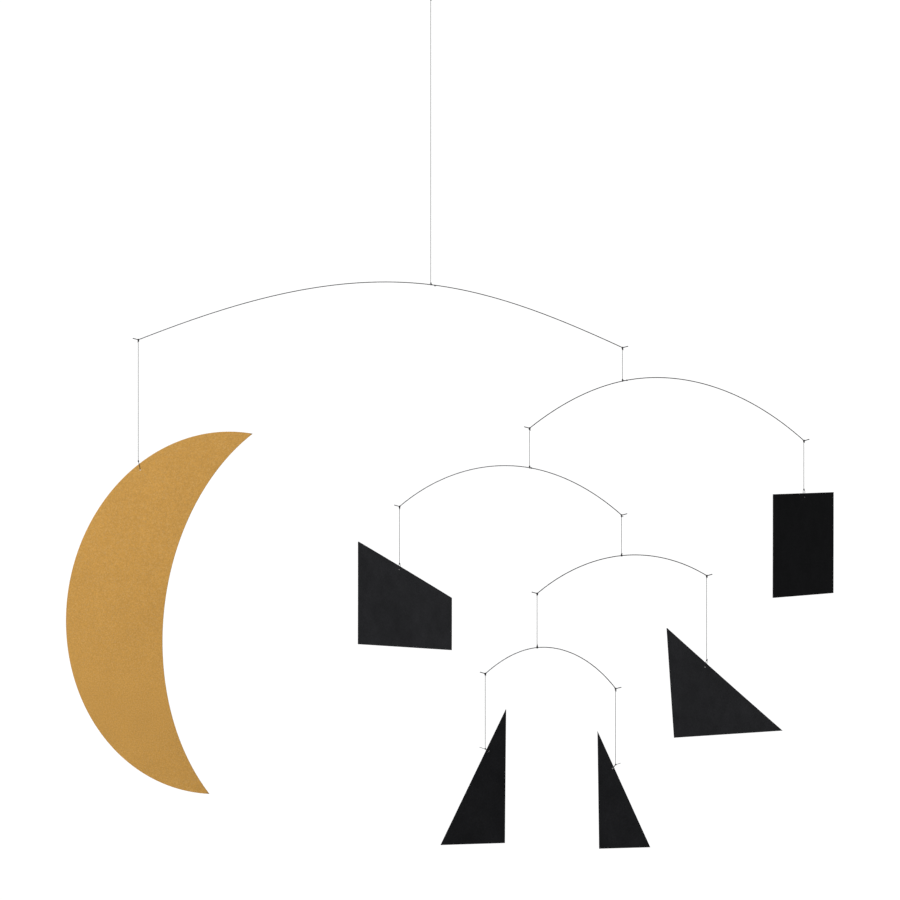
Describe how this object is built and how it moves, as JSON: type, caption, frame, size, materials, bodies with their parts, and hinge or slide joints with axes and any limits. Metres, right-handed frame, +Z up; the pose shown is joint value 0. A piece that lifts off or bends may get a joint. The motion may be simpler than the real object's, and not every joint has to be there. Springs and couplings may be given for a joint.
{
  "type": "hanging mobile sculpture",
  "caption": "Balanced hanging mobile of arched wires and threads carrying a gold crescent and plain black plates; each wire and plate swivels on its thread.",
  "frame": {"origin": "the inside of the hanging loop's top, where a ceiling hook carries the whole mobile", "axes": "+Z up; +X towards the arms' heavier-laden right side as hung, away from the moon; -Y towards the viewer"},
  "size_m": [0.6989, 0.1895, 0.7701],
  "materials": {
    "spring_steel": "drawn spring-steel wire, grey, softly shiny",
    "gold_board": "heavy board faced in matt gold with a fine metallic grain",
    "black_board": "heavy black board, matt, black right through",
    "black_thread": "fine black twisted thread, knotted"
  },
  "bodies": {
    "hanging_thread": {"suspension_thread": "black_thread"},
    "top_arm": {"top_arm": "spring_steel"},
    "gold_moon": {"gold_moon": "gold_board", "moon_thread": "black_thread"},
    "second_arm": {"second_arm": "spring_steel", "second_arm_thread": "black_thread"},
    "black_rectangle": {"black_rectangle": "black_board", "rectangle_thread": "black_thread"},
    "third_arm": {"third_arm": "spring_steel", "third_arm_thread": "black_thread"},
    "black_trapezoid": {"black_trapezoid": "black_board", "trapezoid_thread": "black_thread"},
    "fourth_arm": {"fourth_arm": "spring_steel", "fourth_arm_thread": "black_thread"},
    "large_black_triangle": {"large_black_triangle": "black_board", "large_triangle_thread": "black_thread"},
    "bottom_arm": {"bottom_arm": "spring_steel", "bottom_arm_thread": "black_thread"},
    "left_small_triangle": {"left_small_triangle": "black_board", "left_triangle_thread": "black_thread"},
    "right_small_triangle": {"right_small_triangle": "black_board", "right_triangle_thread": "black_thread"}
  },
  "joints": [
    {"name": "top_arm_swivel", "type": "hinge", "parent": "hanging_thread", "child": "top_arm", "pos_m": [0, 0, -0.2674], "axis": [0, 0, 1], "continuous": true},
    {"name": "gold_moon_swivel", "type": "hinge", "parent": "top_arm", "child": "gold_moon", "pos_m": [-0.26324, 0, -0.3191], "axis": [0, 0, 1], "continuous": true},
    {"name": "second_arm_swivel", "type": "hinge", "parent": "top_arm", "child": "second_arm", "pos_m": [0.17248, 0, -0.3263], "axis": [0, 0, 1], "continuous": true},
    {"name": "black_rectangle_swivel", "type": "hinge", "parent": "second_arm", "child": "black_rectangle", "pos_m": [0.33838, 0.03526, -0.4102], "axis": [0, 0, 1], "continuous": true},
    {"name": "third_arm_swivel", "type": "hinge", "parent": "second_arm", "child": "third_arm", "pos_m": [0.08855, -0.01784, -0.3987], "axis": [0, 0, 1], "continuous": true},
    {"name": "black_trapezoid_swivel", "type": "hinge", "parent": "third_arm", "child": "black_trapezoid", "pos_m": [-0.02832, 0.01348, -0.4695], "axis": [0, 0, 1], "continuous": true},
    {"name": "fourth_arm_swivel", "type": "hinge", "parent": "third_arm", "child": "fourth_arm", "pos_m": [0.17024, -0.03973, -0.4762], "axis": [0, 0, 1], "continuous": true},
    {"name": "large_black_triangle_swivel", "type": "hinge", "parent": "fourth_arm", "child": "large_black_triangle", "pos_m": [0.24692, -0.02621, -0.5307], "axis": [0, 0, 1], "continuous": true},
    {"name": "bottom_arm_swivel", "type": "hinge", "parent": "fourth_arm", "child": "bottom_arm", "pos_m": [0.09475, -0.05304, -0.5455], "axis": [0, 0, 1], "continuous": true},
    {"name": "left_small_triangle_swivel", "type": "hinge", "parent": "bottom_arm", "child": "left_small_triangle", "pos_m": [0.04874, -0.04326, -0.6173], "axis": [0, 0, 1], "continuous": true},
    {"name": "right_small_triangle_swivel", "type": "hinge", "parent": "bottom_arm", "child": "right_small_triangle", "pos_m": [0.16396, -0.06775, -0.6293], "axis": [0, 0, 1], "continuous": true}
  ]
}
